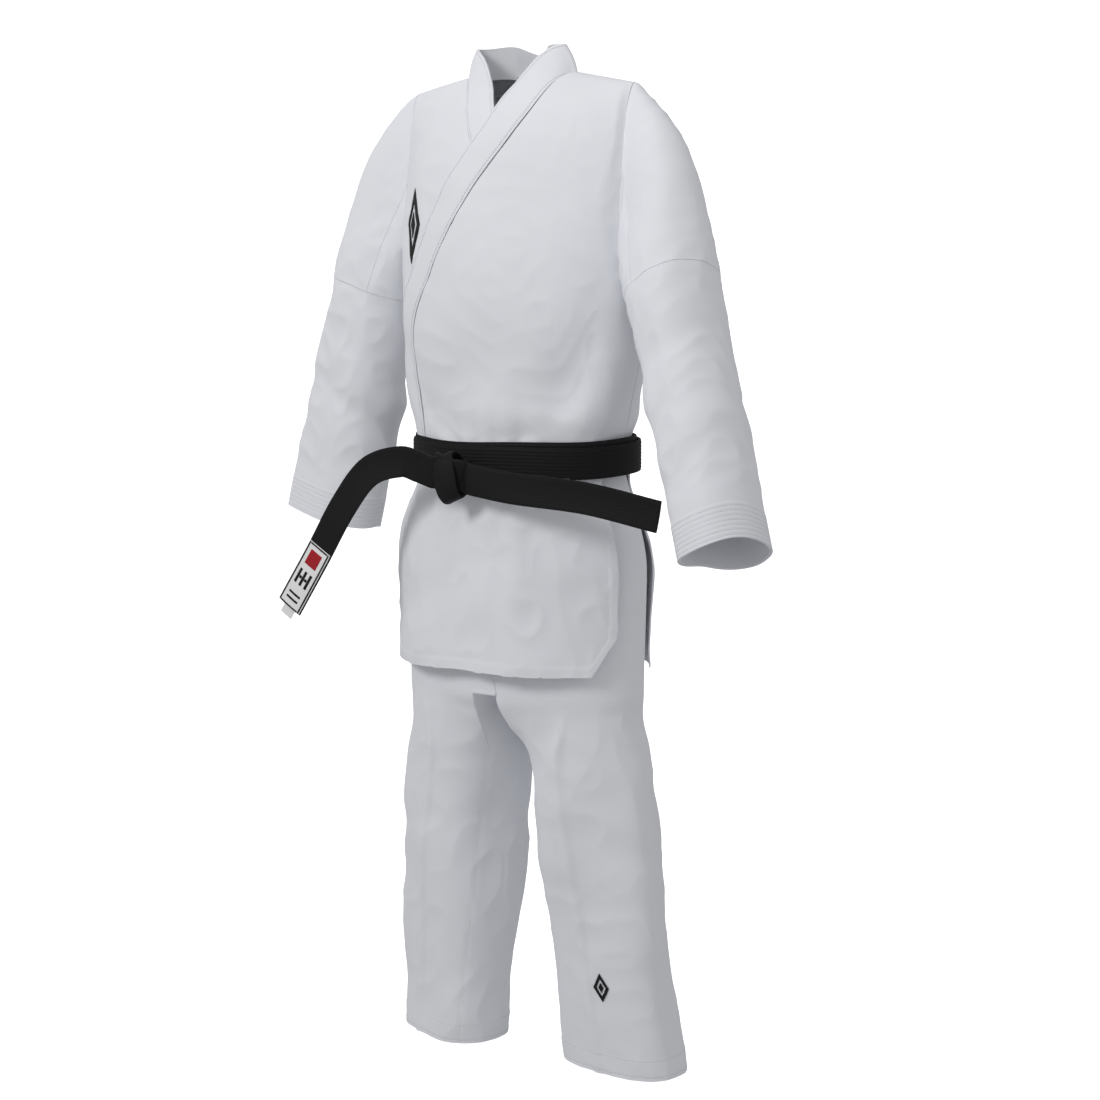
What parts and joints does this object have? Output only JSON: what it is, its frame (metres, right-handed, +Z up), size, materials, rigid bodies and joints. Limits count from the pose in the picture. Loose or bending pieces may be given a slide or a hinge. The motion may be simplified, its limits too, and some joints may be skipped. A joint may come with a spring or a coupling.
{
  "type": "martial arts uniform",
  "caption": "Karate uniform of white cotton canvas: jacket closed left over right by a knotted black belt, and straight trousers, in the shape of a standing wearer.",
  "frame": {"origin": "the point between the wearer's shoulders, level with the shoulder seam at the neck, that the garment hangs from", "axes": "+Z up, the wearer faces -Y, +X is the wearer's left"},
  "size_m": [0.832, 0.3168, 1.3483],
  "materials": {
    "canvas": "matte",
    "lining": "matte",
    "belt": "matte",
    "embroidery": "satin",
    "label": "satin",
    "tie": "matte"
  },
  "bodies": {
    "torso": {"left_front_panel": "canvas", "right_front_panel": "canvas", "left_back_panel": "canvas", "right_back_panel": "canvas", "left_lapel_band": "canvas", "right_lapel_band": "canvas", "collar_band": "canvas", "yoke_lining": "lining", "neck_label": "label", "chest_emblem": "embroidery", "left_shoulder_cap": "canvas", "left_underarm_gusset": "canvas", "right_shoulder_cap": "canvas", "right_underarm_gusset": "canvas", "belt_inner_wrap": "belt", "belt_outer_wrap": "belt", "belt_knot": "belt", "trouser_waistband": "canvas", "trouser_seat": "canvas", "left_hip_panel": "canvas", "right_hip_panel": "canvas", "crotch_gusset": "canvas"},
    "left_sleeve": {"left_sleeve": "canvas", "left_cuff_facing": "canvas"},
    "right_sleeve": {"right_sleeve": "canvas", "right_cuff_facing": "canvas"},
    "front_skirt": {"left_front_skirt": "canvas", "right_front_skirt": "canvas", "side_tie": "tie"},
    "back_skirt": {"back_skirt": "canvas"},
    "left_belt_end": {"left_belt_tail": "belt"},
    "right_belt_end": {"right_belt_tail": "belt", "belt_label": "label", "belt_tag": "label"},
    "left_leg": {"left_leg_outer": "canvas", "left_leg_inner": "canvas", "left_leg_facing": "canvas", "shin_emblem": "embroidery"},
    "right_leg": {"right_leg_outer": "canvas", "right_leg_inner": "canvas", "right_leg_facing": "canvas"}
  },
  "joints": [
    {"name": "left_shoulder_raise", "type": "hinge", "parent": "torso", "child": "left_sleeve", "pos_m": [0.196, 0, -0.285], "axis": [0, -1, 0], "range_deg": [0, 60], "deforming": ["left_shoulder_cap", "left_underarm_gusset"]},
    {"name": "right_shoulder_raise", "type": "hinge", "parent": "torso", "child": "right_sleeve", "pos_m": [-0.196, 0, -0.285], "axis": [0, 1, 0], "range_deg": [0, 60], "deforming": ["right_shoulder_cap", "right_underarm_gusset"]},
    {"name": "front_skirt_lift", "type": "hinge", "parent": "torso", "child": "front_skirt", "pos_m": [0, -0.1357, -0.512], "axis": [-1, 0, 0], "range_deg": [0, 20]},
    {"name": "back_skirt_lift", "type": "hinge", "parent": "torso", "child": "back_skirt", "pos_m": [0, 0.112, -0.512], "axis": [1, 0, 0], "range_deg": [0, 35]},
    {"name": "left_belt_end_swing", "type": "hinge", "parent": "front_skirt", "child": "left_belt_end", "pos_m": [-0.025, -0.1357, -0.512], "axis": [0, 1, 0], "range_deg": [0, 60]},
    {"name": "right_belt_end_swing", "type": "hinge", "parent": "front_skirt", "child": "right_belt_end", "pos_m": [-0.025, -0.1357, -0.512], "axis": [0, 1, 0], "range_deg": [-30, 20]},
    {"name": "left_hip_spread", "type": "hinge", "parent": "torso", "child": "left_leg", "pos_m": [0.01, 0.004, -0.798], "axis": [0, -1, 0], "range_deg": [0, 20], "deforming": ["left_hip_panel", "crotch_gusset"]},
    {"name": "right_hip_spread", "type": "hinge", "parent": "torso", "child": "right_leg", "pos_m": [-0.01, 0.004, -0.798], "axis": [0, 1, 0], "range_deg": [0, 20], "deforming": ["right_hip_panel", "crotch_gusset"]}
  ]
}
